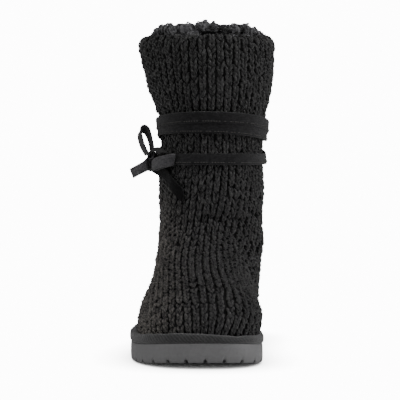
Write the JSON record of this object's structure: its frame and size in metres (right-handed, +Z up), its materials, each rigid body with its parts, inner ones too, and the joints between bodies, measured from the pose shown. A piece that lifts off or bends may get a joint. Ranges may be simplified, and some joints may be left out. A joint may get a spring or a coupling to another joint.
{
  "type": "mukluk boot",
  "caption": "Right sweater boot: chunky ribbed knit upper on a flat rubber sole, curly fleece collar, and a flat lace wound round the shaft and tied in a bow.",
  "frame": {"origin": "on the floor under the middle of the boot's box, measured without the bow", "axes": "+Z up, -Y towards the toe, +X towards the inner side of the right foot"},
  "size_m": [0.1233, 0.2796, 0.2716],
  "materials": {
    "outsole_rubber": "matt moulded rubber",
    "rand_suede": "dark suede covering",
    "knit": "chunky ribbed knit",
    "footbed_felt": "brushed felt",
    "fleece": "curly fleece",
    "suede": "flat suede lace"
  },
  "bodies": {
    "root": {"outsole": "outsole_rubber", "rand": "rand_suede", "upper": "knit", "footbed": "footbed_felt", "fleece_collar": "fleece", "wound_tie": "suede", "tie_knot": "suede", "tie_loop_high": "suede", "tie_loop_front": "suede", "tie_tail_low": "suede", "tie_tail_hanging": "suede"}
  },
  "joints": []
}
